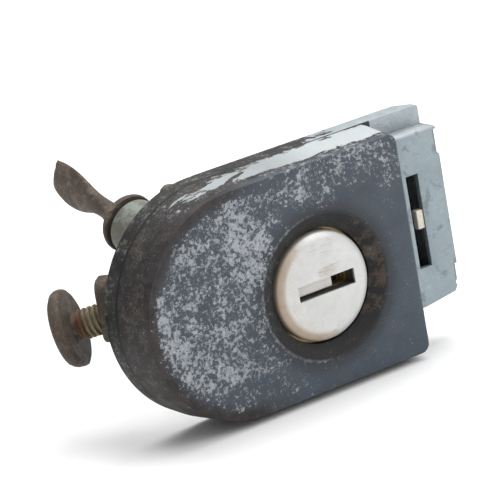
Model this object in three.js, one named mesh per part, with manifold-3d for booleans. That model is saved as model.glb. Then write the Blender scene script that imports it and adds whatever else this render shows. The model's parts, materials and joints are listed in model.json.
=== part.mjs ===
// Surface-mounted deadbolt lock: a D-shaped cast cover on a back plate, with a slotted strike box
// at the square end, a key cylinder in front, and a thumb-turn and a clamp screw behind.
// Millimetres. +X runs along the bolt towards the strike box, -Y is the key side, +Z is up.
// The origin is on the cylinder axis, at the rear face of the back plate.
import * as THREE from 'three';
import { mergeVertices } from 'three/addons/utils/BufferGeometryUtils.js';
import Module from 'manifold-3d';

const wasm = await Module();
wasm.setup();

// ---- Driving dimensions ----
const CASE_HALF_WIDTH = 21.5;
const CASE_MID_Z = 2;              // the case is not centred on the cylinder
const ROUND_END_X = -16.4;         // centre of the round end
const COVER_END_X = 20.8;
const PLATE_END_X = 31.9;
const PLATE_STEP_Z = -11.6;        // beyond the cover the plate stops at this height
const FRONT_Y = -12.75;
const PLATE_THICKNESS = 3.9;
const RELIEF_END_X = -15.4;
const RELIEF_DEPTH = 0.15;
const PLATE_FRONT_Y = -PLATE_THICKNESS;
const PAN_FLOOR_Y = -2;            // the plate is a shallow pan: the bar lies in it
const PAN_WALL = 2.2;
const PAN_END_X = 28.4;
const SEAM = 0.05;                 // air between pieces that rest on each other
const COVER_WALL = 2;
const COVER_DRAFT = 0.93;
const COVER_EDGE_RADIUS = 1.5;
const CORNER_RADIUS = 2;
const PLATE_CORNER_RADIUS = 0.6;

const DISH_RADIUS = 13.3;
const DISH_FLOOR_Y = -11.25;
const PLUG_HEAD_RADIUS = 10;
const PLUG_BEVEL = 1.8;
const PLUG_FACE_Y = -12.3;
const PLUG_RIM_Y = -11.4;
const PLUG_HEAD_REAR_Y = -10.05;
const BARREL_RADIUS = 8;
const BARREL_REAR_Y = -5.7;
const CLIP_GROOVE_FRONT_Y = -6.7;
const CLIP_GROOVE_REAR_Y = -6;
const KEYWAY_LENGTH = 12.2;
const KEYWAY_HEIGHT = 2.8;
const KEYWAY_X = 0.6;
const KEYWAY_REAR_Y = -7.1;

const BODY_FRONT_Y = -9.75;
const BODY_REAR_Y = -6.9;
const FLANGE_RADIUS = 15;
const FLANGE_THICKNESS = 1.4;

const CRANK_RADIUS = 6;            // throw of both crank pins
const CRANK_REST_ANGLE = Math.PI / 4;
const CRANK_PIN_RADIUS = 1.2;
const CRANK_OFFSET = CRANK_RADIUS * Math.sin(CRANK_REST_ANGLE);
const CAM_FRONT_Y = -5.5;
const CAM_REAR_Y = -4.3;

const BAR_FRONT_Y = -4;
const BAR_REAR_Y = -2.3;
const BAR_LOW_Z = 2.4;
const BAR_HIGH_Z = 9.6;
const BAR_EAR_Z = 11.4;
const BAR_LEFT_X = -32.2;
const BAR_SLOT_WIDTH = 3.1;
const BOLT_LEFT_X = 11.8;
const BOLT_NOSE_X = 21;
const BOLT_FRONT_Y = -6.4;
const BOLT_LOW_Z = -8;
const BOLT_HIGH_Z = 13;
const RIVET_X = 15.6;

const BOX_FRONT_Y = -8.3;
const BOX_WALL = 1.1;
const BOX_START_X = 9.5;
const BOX_LOW_Z = -12.2;
const BOX_HIGH_Z = 20.1;
const SLOT_START_X = 23.7;
const SLOT_END_X = 26.4;
const SLOT_LOW_Z = -5;
const SLOT_HIGH_Z = 12.5;

const TURN_X = -25.1;              // the thumb-turn's spindle leaves the plate here
const TURN_Z = 15;
const TURN_CANT = THREE.MathUtils.degToRad(12);
const SPINDLE_RADIUS = 2.4;
const SLEEVE_RADIUS = 5.1;
const SLEEVE_LENGTH = 6.4;
const LEVER_RISE = THREE.MathUtils.degToRad(1.8);

const SCREW_ENTRY = new THREE.Vector3(-35, 5.6, 2.5);
const SCREW_YAW = THREE.MathUtils.degToRad(43);
const SCREW_PITCH = THREE.MathUtils.degToRad(12);
const THREAD_RADIUS = 2.95;
const THREAD_PITCH = 1;
const LUG_THICKNESS = 3.4;
const LUG_HALF_WIDTH = 3.3;

// ---- Finishes ----
const finish = (color, roughness, metalness) =>
  new THREE.MeshStandardMaterial({ color, roughness, metalness });
const finishes = {
  blackPaint: () => finish(0x3a3f48, 0.6, 0.3),
  platePaint: () => finish(0x2f302e, 0.7, 0.3),
  zinc: () => finish(0xb4c2c8, 0.45, 0.8),
  nickel: () => finish(0xd8d3cc, 0.35, 0.9),
  steel: () => finish(0x8d8d8a, 0.45, 0.9),
  brass: () => finish(0xa58455, 0.45, 0.85),
  cream: () => finish(0xcfc6b4, 0.6, 0.1),
  patina: () => finish(0x6e665a, 0.6, 0.6),
  sleeve: () => finish(0x9fb0a6, 0.6, 0.6),
  rubber: () => finish(0x1c1a18, 0.9, 0),
};

// ---- Solid helpers ----
function solid(geometry) {
  const bare = geometry.index ? geometry.toNonIndexed() : geometry.clone();
  bare.deleteAttribute('normal');
  bare.deleteAttribute('uv');
  const merged = mergeVertices(bare, 1e-4);
  return new wasm.Manifold(new wasm.Mesh({
    numProp: 3,
    vertProperties: Float32Array.from(merged.attributes.position.array),
    triVerts: Uint32Array.from(merged.index.array),
  }));
}

function piece(name, shape, material) {
  const result = shape.getMesh();
  const geometry = new THREE.BufferGeometry();
  geometry.setAttribute('position', new THREE.BufferAttribute(result.vertProperties, 3));
  geometry.setIndex(new THREE.BufferAttribute(result.triVerts, 1));
  geometry.computeVertexNormals();
  const mesh = new THREE.Mesh(geometry, material);
  mesh.name = name;
  return mesh;
}

// A flat outline drawn in X and Z, made a slab from yFront to yRear.
function slab(outline, yFront, yRear, curveSegments = 16) {
  const depth = yRear - yFront;
  const geometry = new THREE.ExtrudeGeometry(outline, { depth, bevelEnabled: false, curveSegments });
  return geometry.rotateX(Math.PI / 2).translate(0, yRear, 0);
}

function block(xLow, xHigh, yLow, yHigh, zLow, zHigh) {
  const geometry = new THREE.BoxGeometry(xHigh - xLow, yHigh - yLow, zHigh - zLow);
  return geometry.translate((xLow + xHigh) / 2, (yLow + yHigh) / 2, (zLow + zHigh) / 2);
}

// A round bar along Y.
function rod(radius, yLow, yHigh, x = 0, z = 0, segments = 32) {
  const geometry = new THREE.CylinderGeometry(radius, radius, yHigh - yLow, segments);
  return geometry.translate(x, (yLow + yHigh) / 2, z);
}

// A body turned about Y from [radius, y] pairs listed with y rising.
function turned(profile, segments = 48) {
  return new THREE.LatheGeometry(profile.map(([r, y]) => new THREE.Vector2(r, y)), segments);
}

function rounded(xLow, xHigh, zLow, zHigh, radius) {
  const shape = new THREE.Shape();
  shape.absarc(xHigh - radius, zHigh - radius, radius, 0, Math.PI / 2);
  shape.absarc(xLow + radius, zHigh - radius, radius, Math.PI / 2, Math.PI);
  shape.absarc(xLow + radius, zLow + radius, radius, Math.PI, Math.PI * 1.5);
  shape.absarc(xHigh - radius, zLow + radius, radius, Math.PI * 1.5, Math.PI * 2);
  return shape;
}

// The case outline as a loop of points: square end at endX, half round at the other, drawn in by
// inset. Every loop has the same number of points, so that loops can be joined into walls.
function caseLoop(endX, inset, cornerRadius) {
  const half = CASE_HALF_WIDTH - inset;
  const end = endX - inset;
  const corner = Math.max(cornerRadius - inset, 0.4);
  const arcs = [
    [end - corner, CASE_MID_Z + half - corner, corner, 0, Math.PI / 2, 4],
    [ROUND_END_X, CASE_MID_Z, half, Math.PI / 2, Math.PI * 1.5, 36],
    [end - corner, CASE_MID_Z - half + corner, corner, Math.PI * 1.5, Math.PI * 2, 4],
  ];
  return arcs.flatMap(([x, z, radius, from, to, steps]) =>
    new THREE.EllipseCurve(x, z, radius, radius, from, to).getPoints(steps));
}

function caseOutline(endX, inset, cornerRadius = CORNER_RADIUS) {
  return new THREE.Shape(caseLoop(endX, inset, cornerRadius));
}

// Walls between case outlines given as [y, inset], listed from the rear to the front, and closed
// at both ends.
function lofted(levels, endX) {
  const rings = levels.map(([y, inset]) =>
    caseLoop(endX, inset, CORNER_RADIUS).map((point) => [point.x, y, point.y]));
  const count = rings[0].length;
  const last = (rings.length - 1) * count;
  const index = [];
  for (let ring = 0; ring < last; ring += count) {
    for (let i = 0; i < count; i += 1) {
      const next = (i + 1) % count;
      index.push(ring + i, ring + next, ring + count + next);
      index.push(ring + i, ring + count + next, ring + count + i);
    }
  }
  for (let i = 1; i < count - 1; i += 1) {
    index.push(0, i + 1, i, last, last + i, last + i + 1);
  }
  const geometry = new THREE.BufferGeometry();
  geometry.setAttribute('position', new THREE.Float32BufferAttribute(rings.flat(2), 3));
  return geometry.setIndex(index);
}

// The cover's outer form: drafted walls that turn over a rounded edge into the flat face.
function coverForm() {
  const levels = [[PLATE_FRONT_Y - SEAM, 0]];
  const edgeSteps = 4;
  for (let i = 0; i <= edgeSteps; i += 1) {
    const angle = (i / edgeSteps) * (Math.PI / 2);
    levels.push([
      FRONT_Y + COVER_EDGE_RADIUS * (1 - Math.sin(angle)),
      COVER_DRAFT + COVER_EDGE_RADIUS * (1 - Math.cos(angle)),
    ]);
  }
  return solid(lofted(levels, COVER_END_X));
}

const coverScrewPlaces = [[-30.2, -6], [-8, 17.6], [14.5, -14.9]];

function frontCover() {
  const innerFront = FRONT_Y + COVER_WALL;
  const cavity = solid(lofted([[1, COVER_WALL], [innerFront, COVER_WALL + COVER_DRAFT]], COVER_END_X));
  const seatRing = solid(rod(FLANGE_RADIUS + 1.2, innerFront - 0.1, BODY_FRONT_Y - SEAM, 0, 0, 48));
  let cover = coverForm().subtract(cavity).add(seatRing);
  const dish = turned([
    [0, FRONT_Y - 1], [DISH_RADIUS, FRONT_Y - 1], [DISH_RADIUS, FRONT_Y],
    [DISH_RADIUS - 0.8, FRONT_Y + 0.3], [DISH_RADIUS - 1.8, FRONT_Y + 0.85],
    [PLUG_HEAD_RADIUS + 0.45, DISH_FLOOR_Y], [PLUG_HEAD_RADIUS + 0.45, -9], [0, -9],
  ]);
  cover = cover.subtract(solid(dish));
  const window = block(COVER_END_X - 4, COVER_END_X + 2, BOX_FRONT_Y - 0.3, 0,
    BOX_LOW_Z - 0.3, BOX_HIGH_Z + 0.3);
  cover = cover.subtract(solid(window));
  for (const [x, z] of coverScrewPlaces) {
    const boss = solid(rod(2.2, innerFront - 0.1, PAN_FLOOR_Y - SEAM, x, z, 24));
    const hole = solid(rod(1.25, -9, 0, x, z, 20));
    cover = cover.add(boss).subtract(hole);
  }
  for (const angle of cylinderScrewAngles) {
    const [x, z] = polar(CYLINDER_SCREW_RADIUS, angle);
    cover = cover.subtract(solid(rod(1.15, BODY_FRONT_Y - 1.6, 0, x, z, 16)));
  }
  return piece('front_cover', cover, finishes.blackPaint());
}

function coverScrew(x, z, index) {
  const shape = solid(turned([
    [0, -8.5], [1.1, -8], [1.1, -1.3], [2.2, -0.15], [2.2, -0.05], [0, -0.05],
  ], 20).translate(x, 0, z));
  const slot = solid(block(x - 3, x + 3, -0.6, 1, z - 0.35, z + 0.35));
  return piece(`cover_screw_${index}`, shape.subtract(slot), finishes.steel());
}

function backPlate(turnGroup) {
  let plate = solid(slab(caseOutline(PLATE_END_X, 0, PLATE_CORNER_RADIUS), PLATE_FRONT_Y, 0));
  plate = plate.subtract(solid(block(COVER_END_X, 60, -10, 10, -60, PLATE_STEP_Z)));
  // The rear face is relieved where the sleeve, the lug and the stud stand on it.
  plate = plate.subtract(solid(block(-60, RELIEF_END_X, -RELIEF_DEPTH, 10, -60, 60)));
  plate = plate.subtract(solid(slab(caseOutline(COVER_END_X, PAN_WALL), -10, PAN_FLOOR_Y)));
  plate = plate.subtract(solid(block(10, PAN_END_X, -10, PAN_FLOOR_Y, -9.8, 18.9)));
  // The rear edge at the square end is planed off so that it slides behind the jamb.
  const wedge = new THREE.Shape();
  wedge.moveTo(PAN_END_X + 0.4, 0.01);
  wedge.lineTo(PLATE_END_X + 0.1, 0.01);
  wedge.lineTo(PLATE_END_X + 0.1, -3);
  const planed = new THREE.ExtrudeGeometry(wedge, { depth: 60, bevelEnabled: false });
  plate = plate.subtract(solid(planed.translate(0, 0, -30)));
  const spindleHole = rod(SPINDLE_RADIUS + 0.6, -8, 4).applyMatrix4(turnGroup.matrix);
  plate = plate.subtract(solid(spindleHole));
  for (const [x, z] of coverScrewPlaces) {
    const sink = turned([[0, -4], [1.35, -4], [1.35, -1.35], [2.45, -0.15], [2.45, 1], [0, 1]], 24);
    plate = plate.subtract(solid(sink.translate(x, 0, z)));
  }
  return piece('back_plate', plate, finishes.platePaint());
}

function strikeBox() {
  const rear = PLATE_FRONT_Y - SEAM;
  const outer = solid(block(BOX_START_X, PLATE_END_X, BOX_FRONT_Y, rear, BOX_LOW_Z, BOX_HIGH_Z));
  const inner = solid(block(BOX_START_X - 1, PLATE_END_X - BOX_WALL, BOX_FRONT_Y + BOX_WALL, 0,
    BOX_LOW_Z + 2.4, BOX_HIGH_Z - BOX_WALL));
  let box = outer.subtract(inner);
  box = box.subtract(solid(block(SLOT_START_X, SLOT_END_X, -12, -5, SLOT_LOW_Z, SLOT_HIGH_Z)));
  // Clearance for the cylinder body where the box reaches under it.
  box = box.subtract(solid(rod(FLANGE_RADIUS + 0.5, -12, -6, 0, 0, 48)));
  for (const [low, high] of [[-10.2, -6.2], [14.8, 19.4]]) {
    const notch = block(PLATE_END_X - 0.8, PLATE_END_X + 1, BOX_FRONT_Y - 1, BOX_FRONT_Y + 0.7, low, high);
    box = box.subtract(solid(notch));
  }
  // The lower wall rises towards the free end and is cut off at the corner.
  const rise = new THREE.Shape();
  rise.moveTo(COVER_END_X + 3, BOX_LOW_Z - 0.01);
  rise.lineTo(PLATE_END_X + 0.1, BOX_LOW_Z - 0.01);
  rise.lineTo(PLATE_END_X + 0.1, BOX_LOW_Z + 3);
  rise.lineTo(PLATE_END_X - 1.2, BOX_LOW_Z + 0.9);
  return piece('strike_box', box.subtract(solid(slab(rise, -12, 0))), finishes.zinc());
}

// A small block fixed behind the slot's right edge; it shows halfway up the slot.
function strikeSlotTab() {
  const rear = BOX_FRONT_Y + BOX_WALL;
  const left = SLOT_END_X - 1.5;
  const foot = solid(block(left, left + 5, rear + SEAM, rear + 0.45, 2.2, 5.7));
  const nose = solid(block(left, SLOT_END_X - SEAM, BOX_FRONT_Y + 0.2, rear + 0.2, 2.2, 5.7));
  return piece('slot_centre_tab', foot.add(nose), finishes.cream());
}

const CYLINDER_SCREW_RADIUS = 12.8;
const cylinderScrewAngles = [Math.PI * 0.25, Math.PI * 0.75, Math.PI * 1.25, Math.PI * 1.75];

function cylinderBody() {
  const flange = solid(rod(FLANGE_RADIUS, BODY_FRONT_Y, BODY_FRONT_Y + FLANGE_THICKNESS, 0, 0, 48));
  let body = flange.add(solid(rod(BARREL_RADIUS + 2.6, BODY_FRONT_Y, BODY_REAR_Y, 0, 0, 48)));
  body = body.subtract(solid(rod(BARREL_RADIUS + 0.25, -20, 0, 0, 0, 48)));
  for (const angle of cylinderScrewAngles) {
    const [x, z] = polar(CYLINDER_SCREW_RADIUS, angle);
    body = body.subtract(solid(rod(1.15, -20, 0, x, z, 16)));
  }
  return piece('cylinder_body', body, finishes.brass());
}

function polar(radius, angle) {
  return [radius * Math.cos(angle), radius * Math.sin(angle)];
}

// Screws behind the flange; their tips stop in the cover's seat ring.
function cylinderScrew(angle, index) {
  const [x, z] = polar(CYLINDER_SCREW_RADIUS, angle);
  const head = BODY_FRONT_Y + FLANGE_THICKNESS + SEAM;
  const tip = BODY_FRONT_Y - 1.5;
  const shape = solid(turned([
    [0, tip], [1, tip], [1, head], [1.9, head], [1.9, head + 0.8], [1.3, head + 1.1], [0, head + 1.1],
  ], 20).translate(x, 0, z));
  const slot = solid(block(x - 3, x + 3, head + 0.6, head + 3, z - 0.3, z + 0.3));
  return piece(`cylinder_screw_${index}`, shape.subtract(slot), finishes.steel());
}

// ---- Key plug and what turns with it ----
const WAFER_THICKNESS = 0.6;
const waferPlaces = [-9.6, -8.8, -8];

function keyPlug() {
  const grooveRadius = BARREL_RADIUS - 0.8;
  const shape = turned([
    [0, PLUG_FACE_Y], [PLUG_HEAD_RADIUS - PLUG_BEVEL, PLUG_FACE_Y],
    [PLUG_HEAD_RADIUS - 0.6, PLUG_FACE_Y + 0.35], [PLUG_HEAD_RADIUS, PLUG_RIM_Y],
    [PLUG_HEAD_RADIUS, PLUG_HEAD_REAR_Y], [BARREL_RADIUS, PLUG_HEAD_REAR_Y],
    [BARREL_RADIUS, CLIP_GROOVE_FRONT_Y], [grooveRadius, CLIP_GROOVE_FRONT_Y],
    [grooveRadius, CLIP_GROOVE_REAR_Y], [BARREL_RADIUS, CLIP_GROOVE_REAR_Y],
    [BARREL_RADIUS, BARREL_REAR_Y], [0, BARREL_REAR_Y],
  ]);
  const tail = block(-2, 2, BARREL_REAR_Y - 0.5, CAM_REAR_Y - 0.1, -2, 2);
  const left = KEYWAY_X - KEYWAY_LENGTH / 2;
  const right = KEYWAY_X + KEYWAY_LENGTH / 2;
  const half = KEYWAY_HEIGHT / 2;
  const mouth = block(left, right, PLUG_FACE_Y - 1, -11, -half, half);
  const chamber = block(left, right, -11.2, KEYWAY_REAR_Y, -half, half + 1);
  let plug = solid(shape).add(solid(tail)).subtract(solid(mouth)).subtract(solid(chamber));
  for (const y of waferPlaces) {
    plug = plug.subtract(solid(block(-9, 9, y - 0.1, y + WAFER_THICKNESS + 0.1, -3.3, 3.5)));
  }
  plug = plug.subtract(solid(rod(1.05, BARREL_REAR_Y - 1, -4, 0, 0, 20)));
  return piece('key_plug', plug, finishes.nickel());
}

// Flat tumblers with a window for the key. They slide along X within the barrel.
function wafer(yFront, index) {
  const outline = rounded(-7, 7, -3, 3.2, 0.6);
  const window = rounded(-6.1, 6.4 - index * 0.25, -KEYWAY_HEIGHT / 2 + 0.1, 2.4, 0.3);
  outline.holes.push(window);
  return piece(`wafer_${index}`, solid(slab(outline, yFront, yFront + WAFER_THICKNESS, 3)), finishes.brass());
}

// A sprung flap that closes the left of the key slot; it swings back about its upper edge.
function keywayShutter() {
  const left = KEYWAY_X - KEYWAY_LENGTH / 2 + 0.15;
  const flap = solid(block(left, left + 8, -10.85, -10.4, -KEYWAY_HEIGHT / 2 + 0.55, 1.95));
  return piece('keyway_shutter', flap, finishes.steel());
}

function retainingClip() {
  const outline = new THREE.Shape();
  const gap = 0.7;
  outline.absarc(0, 0, 9.4, -Math.PI / 2 + gap, Math.PI * 1.5 - gap);
  outline.absarc(0, 0, BARREL_RADIUS - 0.65, Math.PI * 1.5 - gap, -Math.PI / 2 + gap, true);
  const clip = slab(outline, CLIP_GROOVE_FRONT_Y + 0.08, CLIP_GROOVE_REAR_Y - 0.08, 12);
  return piece('plug_retaining_clip', solid(clip), finishes.steel());
}

// An arm with a pin that works in a notch of the drive bar. direction is +1 for an arm that points
// up and -1 for one that points down; the arm stands turned back by the crank's rest angle.
function crank(name, direction, front, rear, pinEnd, hole) {
  const arm = new THREE.Shape();
  const hub = 3.4;
  const tip = CRANK_PIN_RADIUS + 0.8;
  arm.absarc(0, 0, hub, Math.PI, Math.PI * 2);
  arm.absarc(0, CRANK_RADIUS, tip, 0, Math.PI);
  let shape = solid(slab(arm, front, rear, 12));
  shape = shape.add(solid(rod(CRANK_PIN_RADIUS, front + 0.2, pinEnd, 0, CRANK_RADIUS, 20)));
  shape = shape.subtract(solid(hole));
  const swing = new THREE.Matrix4().makeRotationY(-CRANK_REST_ANGLE);
  const turn = direction > 0 ? swing : new THREE.Matrix4().makeRotationY(Math.PI + CRANK_REST_ANGLE);
  return piece(name, shape.transform(turn.elements), finishes.steel());
}

function camScrew() {
  const shape = solid(turned([
    [0, -6.5], [0.9, -6.5], [0.9, CAM_REAR_Y + SEAM], [2, CAM_REAR_Y + SEAM], [2, -3.3], [1.4, -3], [0, -3],
  ], 20));
  const slot = solid(block(-3, 3, -3.5, -2, -0.3, 0.3));
  return piece('cam_screw', shape.subtract(slot), finishes.steel());
}

// ---- Bolt ----
const boltRivetHeights = [-4, 9];

function deadboltHead() {
  const outline = new THREE.Shape();
  const nose = 1.2;
  outline.moveTo(BOLT_LEFT_X, BOLT_LOW_Z);
  outline.lineTo(BOLT_NOSE_X - nose, BOLT_LOW_Z);
  outline.lineTo(BOLT_NOSE_X, BOLT_LOW_Z + nose);
  outline.lineTo(BOLT_NOSE_X, BOLT_HIGH_Z - nose);
  outline.lineTo(BOLT_NOSE_X - nose, BOLT_HIGH_Z);
  outline.lineTo(BOLT_LEFT_X, BOLT_HIGH_Z);
  let head = solid(slab(outline, BOLT_FRONT_Y, BAR_FRONT_Y - SEAM));
  for (const z of boltRivetHeights) {
    head = head.subtract(solid(rod(1.45, -10, 0, RIVET_X, z, 20)));
  }
  return piece('deadbolt', head, finishes.steel());
}

function driveBar() {
  const half = BAR_SLOT_WIDTH / 2;
  const plugSlotX = -CRANK_OFFSET;
  const turnSlotX = TURN_X - CRANK_OFFSET;
  const earEnd = turnSlotX + half + 2.2;
  const outline = new THREE.Shape();
  outline.moveTo(BAR_LEFT_X, BAR_LOW_Z);
  outline.lineTo(BOLT_LEFT_X - 1, BAR_LOW_Z);
  outline.lineTo(BOLT_LEFT_X + 0.5, BOLT_LOW_Z);
  outline.lineTo(RIVET_X + 2.8, BOLT_LOW_Z);
  outline.lineTo(RIVET_X + 2.8, BOLT_HIGH_Z);
  outline.lineTo(BOLT_LEFT_X + 0.5, BOLT_HIGH_Z);
  outline.lineTo(BOLT_LEFT_X - 1, BAR_HIGH_Z);
  outline.lineTo(earEnd + 1, BAR_HIGH_Z);
  outline.lineTo(earEnd, BAR_EAR_Z);
  outline.lineTo(BAR_LEFT_X, BAR_EAR_Z);
  let bar = solid(slab(outline, BAR_FRONT_Y, BAR_REAR_Y));
  bar = bar.subtract(solid(block(plugSlotX - half, plugSlotX + half, -10, 0, 0, 7.7)));
  bar = bar.subtract(solid(block(turnSlotX - half, turnSlotX + half, -10, 0, 6.3, 14)));
  for (const z of boltRivetHeights) {
    bar = bar.subtract(solid(rod(1.45, -10, 0, RIVET_X, z, 20)));
  }
  return piece('drive_bar', bar, finishes.steel());
}

function boltRivet(z, index) {
  const shape = solid(rod(1.3, BOLT_FRONT_Y + 0.1, BAR_REAR_Y - 0.1, RIVET_X, z, 20));
  return piece(`bolt_rivet_${index}`, shape, finishes.brass());
}

// Two rails on the plate keep the bar in line.
function boltGuide(name, zLow, zHigh) {
  const rail = solid(block(-13, -7.5, BAR_FRONT_Y - 0.7, PAN_FLOOR_Y - SEAM, zLow, zHigh));
  return piece(name, rail, finishes.steel());
}

// A bowed leaf that presses on the bar's lower edge, so that the bolt stays where it is put.
function detentSpring() {
  const bow = new THREE.QuadraticBezierCurve(
    new THREE.Vector2(-27, -4.2), new THREE.Vector2(-20.3, 8.4), new THREE.Vector2(-13.6, -4.2));
  const upper = bow.getPoints(14);
  const lower = upper.map((point) => new THREE.Vector2(point.x, point.y - 0.5)).reverse();
  const outline = new THREE.Shape([...upper, ...lower]);
  return piece('detent_spring', solid(slab(outline, -3.9, -2.4)), finishes.steel());
}

function springPin(x, index) {
  const pin = solid(rod(0.9, -4.6, PAN_FLOOR_Y - SEAM, x, -5.8, 16));
  return piece(`spring_pin_${index}`, pin, finishes.brass());
}

// ---- Thumb-turn, in its own canted group: local Y is the spindle axis ----
function turnFrame() {
  const group = new THREE.Group();
  group.position.set(TURN_X, 0, TURN_Z);
  group.rotation.x = TURN_CANT;
  group.updateMatrix();
  return group;
}

// Everything in front of the plate's rear face, seen from inside the turned group.
function plateSide(group) {
  const inverse = group.matrix.clone().invert();
  return solid(block(-80, 80, -60, 0.3, -80, 80).applyMatrix4(inverse));
}

function thumbTurnSleeve(group) {
  let sleeve = solid(turned([
    [0, -6], [SLEEVE_RADIUS + 0.4, -6], [SLEEVE_RADIUS + 0.4, 0.8], [SLEEVE_RADIUS, 1.8],
    [SLEEVE_RADIUS, SLEEVE_LENGTH - 0.4], [SLEEVE_RADIUS - 0.4, SLEEVE_LENGTH], [0, SLEEVE_LENGTH],
  ]));
  sleeve = sleeve.subtract(plateSide(group)).subtract(solid(rod(SPINDLE_RADIUS + 0.25, -10, 20)));
  return piece('thumb_turn_sleeve', sleeve, finishes.sleeve());
}

function frictionWasher() {
  const ring = solid(rod(SLEEVE_RADIUS - 0.7, SLEEVE_LENGTH + 0.1, SLEEVE_LENGTH + 0.8));
  return piece('friction_washer', ring.subtract(solid(rod(SPINDLE_RADIUS + 0.25, -10, 20))),
    finishes.rubber());
}

// An outline drawn along the lever and across it, made a body of the given depth about the lever's
// centre line and then bent up from the spindle axis at the root.
function raised(outline, depth, across, through, root) {
  const options = { depth, bevelEnabled: false, curveSegments: 8 };
  const geometry = new THREE.ExtrudeGeometry(outline, options).translate(-root, 0, -depth / 2);
  const along = new THREE.Vector3(0, 1, 0);
  geometry.applyMatrix4(new THREE.Matrix4().makeBasis(along, across, through));
  return geometry.rotateX(LEVER_RISE).translate(0, root, 0);
}

// A flared paddle on a round neck, with a collar that turns on the sleeve.
function thumbTurn() {
  const foot = SLEEVE_LENGTH + 0.9;
  const collar = turned([
    [0, -6.1], [SPINDLE_RADIUS - 0.4, -6.1], [SPINDLE_RADIUS - 0.4, -5.3], [SPINDLE_RADIUS, -5.3],
    [SPINDLE_RADIUS, foot], [SLEEVE_RADIUS + 0.1, foot], [SLEEVE_RADIUS + 0.25, foot + 0.6],
    [SLEEVE_RADIUS - 0.2, foot + 1.4], [3.2, foot + 2.3], [2.1, foot + 3.4], [1.8, foot + 5],
    [1.7, foot + 7], [0, foot + 7],
  ]);
  const root = foot + 4;
  const waist = foot + 9;
  const tip = foot + 25.4;
  const plan = new THREE.Shape();
  plan.moveTo(root, -1.8);
  plan.lineTo(waist, -1.8);
  plan.bezierCurveTo(waist + 4, -2.1, waist + 5.5, -4, waist + 10.5, -4.2);
  plan.quadraticCurveTo(tip - 2.6, -4.2, tip - 1, -3.2);
  plan.quadraticCurveTo(tip + 0.6, 0.2, tip - 0.2, 3.5);
  plan.quadraticCurveTo(tip - 1.6, 4.7, waist + 9, 4);
  plan.bezierCurveTo(waist + 5.5, 3.6, waist + 4, 2.1, waist, 1.8);
  plan.lineTo(root, 1.8);
  // Seen edge on, the neck thins down to a blade.
  const side = new THREE.Shape();
  side.moveTo(root, -1.7);
  side.quadraticCurveTo(waist + 3, -1.4, tip + 2, -0.8);
  side.lineTo(tip + 2, 0.8);
  side.quadraticCurveTo(waist + 3, 1.4, root, 1.7);
  const flat = raised(plan, 6, new THREE.Vector3(0, 0, 1), new THREE.Vector3(1, 0, 0), root);
  const edge = raised(side, 12, new THREE.Vector3(-1, 0, 0), new THREE.Vector3(0, 0, 1), root);
  const blade = solid(flat).intersect(solid(edge));
  return piece('thumb_turn', solid(collar).add(blade), finishes.patina());
}

// ---- Clamp screw, in its own slanted group: local Y runs from the tip to the head ----
function screwFrame() {
  const flat = Math.cos(SCREW_PITCH);
  const outward = new THREE.Vector3(
    -flat * Math.cos(SCREW_YAW), flat * Math.sin(SCREW_YAW), -Math.sin(SCREW_PITCH));
  const across = new THREE.Vector3().crossVectors(outward, new THREE.Vector3(0, 0, 1)).normalize();
  const up = new THREE.Vector3().crossVectors(across, outward);
  const group = new THREE.Group();
  group.quaternion.setFromRotationMatrix(new THREE.Matrix4().makeBasis(across, outward, up));
  group.position.copy(SCREW_ENTRY);
  group.updateMatrix();
  return group;
}

// The lug stands upright, so its own group is turned about Z only.
function lugFrame() {
  const group = new THREE.Group();
  group.rotation.z = Math.PI / 2 - SCREW_YAW;
  group.position.copy(SCREW_ENTRY);
  group.updateMatrix();
  return group;
}

function clampLug(group, holeGroup) {
  const outline = rounded(-LUG_HALF_WIDTH, LUG_HALF_WIDTH, -4.2, 7.4, 2.4);
  const ear = solid(slab(outline, -LUG_THICKNESS, 0, 8));
  const inverse = group.matrix.clone().invert();
  const foot = solid(block(-34.5, -28.5, -2, 4.2, -0.6, 8.4).applyMatrix4(inverse));
  const hole = rod(THREAD_RADIUS + 0.3, -12, 6).applyMatrix4(holeGroup.matrix).applyMatrix4(inverse);
  const shape = ear.add(foot).subtract(plateSide(group)).subtract(solid(hole));
  return piece('clamp_lug', shape, finishes.platePaint());
}

function clampScrew() {
  const underHead = 5.3;
  const profile = [[0, -4.1], [1.1, -4.1], [1.1, -3.6], [THREAD_RADIUS - 0.6, -3.1]];
  const turns = Math.floor((underHead - 1 + 3.1) / THREAD_PITCH);
  for (let i = 0; i < turns; i += 1) {
    const y = -3.1 + i * THREAD_PITCH;
    profile.push([THREAD_RADIUS, y + 0.35], [THREAD_RADIUS, y + 0.6], [THREAD_RADIUS - 0.6, y + 1.15]);
  }
  profile.push(
    [2.2, underHead], [6.6, underHead - 0.1], [7.3, underHead + 0.5], [7.3, underHead + 1.6],
    [6.3, underHead + 2.7], [4, underHead + 3.2], [0, underHead + 3.3]);
  const shape = solid(turned(profile, 36));
  return piece('clamp_screw', shape, finishes.patina());
}

function clampPad() {
  const pad = solid(turned([[0, -5.6], [2, -5.6], [2.3, -5.3], [2.3, -4.5], [0, -4.5]], 24));
  return piece('clamp_pad', pad, finishes.brass());
}

// ---- Rear stud ----
function locatingStud() {
  const shape = solid(turned([[0, 0.05], [2, 0.05], [1.8, 4.6], [1.2, 5.8], [0, 6]], 20));
  return piece('locating_stud', shape.translate([-17.8, 0, 20.3]), finishes.patina());
}

// ---- Assembly ----
const lock = new THREE.Group();
const turnGroup = turnFrame();
const screwGroup = screwFrame();
const lugGroup = lugFrame();
lock.add(turnGroup, screwGroup, lugGroup);

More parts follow.
